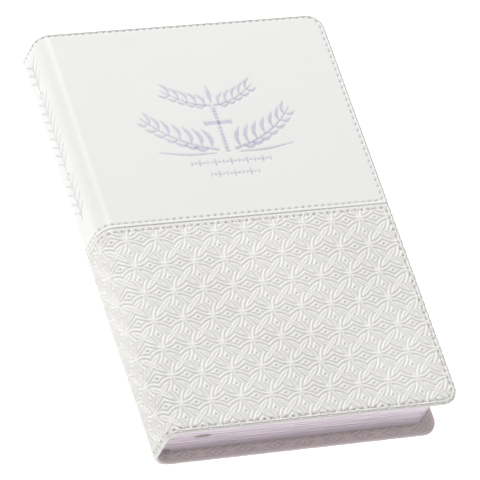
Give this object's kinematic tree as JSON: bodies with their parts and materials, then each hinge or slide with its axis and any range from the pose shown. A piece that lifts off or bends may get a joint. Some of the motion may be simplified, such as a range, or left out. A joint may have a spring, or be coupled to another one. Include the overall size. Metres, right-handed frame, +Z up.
{
  "type": "bible",
  "caption": "Closed flexible-cover bible with a smooth upper panel and an interlaced-circle embossed lower panel, sewn edges, turning cover and leaves.",
  "frame": {"origin": "centre of the footprint, on the surface that the closed book lies on", "axes": "+Y towards the head of the book, +X towards the fore edge with the spine at -X, +Z up from the back cover to the front cover"},
  "size_m": [0.142, 0.208, 0.029],
  "materials": {
    "smooth_leather": "smooth white faux leather with a soft pearl sheen",
    "embossed_leather": "white faux leather pressed with interlaced circles",
    "thread": "off-white polyester sewing thread",
    "board": "flexible bonded-fibre board",
    "liner": "matt pasted-down lining paper",
    "pages": "thin printed leaves with silver-lilac gilded edges",
    "endpaper": "heavier matt endpaper",
    "mull": "open-weave starched lining cloth",
    "ribbon": "satin marker ribbon"
  },
  "bodies": {
    "text_block": {"spine_smooth_panel": "smooth_leather", "spine_embossed_panel": "embossed_leather", "spine_stiffener": "board", "spine_mull": "mull", "front_sewn_folds": "pages", "ribbon_marker": "ribbon", "signature_06": "pages", "signature_07": "pages", "signature_08": "pages", "signature_09": "pages", "signature_10": "pages", "signature_11": "pages", "signature_12": "pages", "signature_13": "pages", "signature_14": "pages", "signature_15": "pages"},
    "front_cover": {"front_smooth_panel": "smooth_leather", "front_embossed_panel": "embossed_leather", "front_smooth_thread": "thread", "front_embossed_thread": "thread", "front_board": "board", "front_liner": "liner"},
    "back_cover": {"back_smooth_panel": "smooth_leather", "back_embossed_panel": "embossed_leather", "back_smooth_thread": "thread", "back_embossed_thread": "thread", "back_board": "board", "back_liner": "liner"},
    "front_endpaper": {"front_endpaper": "endpaper"},
    "rear_endpaper": {"rear_endpaper": "endpaper"},
    "leaves_1": {"signature_01": "pages"},
    "leaves_2": {"signature_02": "pages"},
    "leaves_3": {"signature_03": "pages"},
    "leaves_4": {"signature_04": "pages"},
    "leaves_5": {"signature_05": "pages"}
  },
  "joints": [
    {"name": "front_cover_hinge", "type": "hinge", "parent": "text_block", "child": "front_cover", "pos_m": [-0.0701, 0, 0.0246], "axis": [0, -1, 0], "range_deg": [0, 178]},
    {"name": "back_cover_hinge", "type": "hinge", "parent": "text_block", "child": "back_cover", "pos_m": [-0.0698, 0, 0.0056], "axis": [0, 1, 0], "range_deg": [0, 178]},
    {"name": "front_endpaper_turn", "type": "hinge", "parent": "text_block", "child": "front_endpaper", "pos_m": [-0.0701, 0, 0.0246], "axis": [0, -1, 0], "range_deg": [0, 178]},
    {"name": "rear_endpaper_turn", "type": "hinge", "parent": "text_block", "child": "rear_endpaper", "pos_m": [-0.0698, 0, 0.0056], "axis": [0, 1, 0], "range_deg": [0, 178]},
    {"name": "leaves_1_turn", "type": "hinge", "parent": "text_block", "child": "leaves_1", "pos_m": [-0.063, 0, 0.0268], "axis": [0, -1, 0], "range_deg": [0, 179]},
    {"name": "leaves_2_turn", "type": "hinge", "parent": "text_block", "child": "leaves_2", "pos_m": [-0.063, 0, 0.0268], "axis": [0, -1, 0], "range_deg": [0, 179]},
    {"name": "leaves_3_turn", "type": "hinge", "parent": "text_block", "child": "leaves_3", "pos_m": [-0.063, 0, 0.0268], "axis": [0, -1, 0], "range_deg": [0, 179]},
    {"name": "leaves_4_turn", "type": "hinge", "parent": "text_block", "child": "leaves_4", "pos_m": [-0.063, 0, 0.0268], "axis": [0, -1, 0], "range_deg": [0, 179]},
    {"name": "leaves_5_turn", "type": "hinge", "parent": "text_block", "child": "leaves_5", "pos_m": [-0.063, 0, 0.0268], "axis": [0, -1, 0], "range_deg": [0, 179]}
  ],
  "couplings": [
    {"joint": "front_endpaper_turn", "follows": "front_cover_hinge", "ratio": 0.997},
    {"joint": "rear_endpaper_turn", "follows": "back_cover_hinge", "ratio": 0.99},
    {"joint": "leaves_1_turn", "follows": "front_cover_hinge", "ratio": 1.005},
    {"joint": "leaves_2_turn", "follows": "front_cover_hinge", "ratio": 0.995},
    {"joint": "leaves_3_turn", "follows": "front_cover_hinge", "ratio": 0.985},
    {"joint": "leaves_4_turn", "follows": "front_cover_hinge", "ratio": 0.975},
    {"joint": "leaves_5_turn", "follows": "front_cover_hinge", "ratio": 0.965}
  ]
}
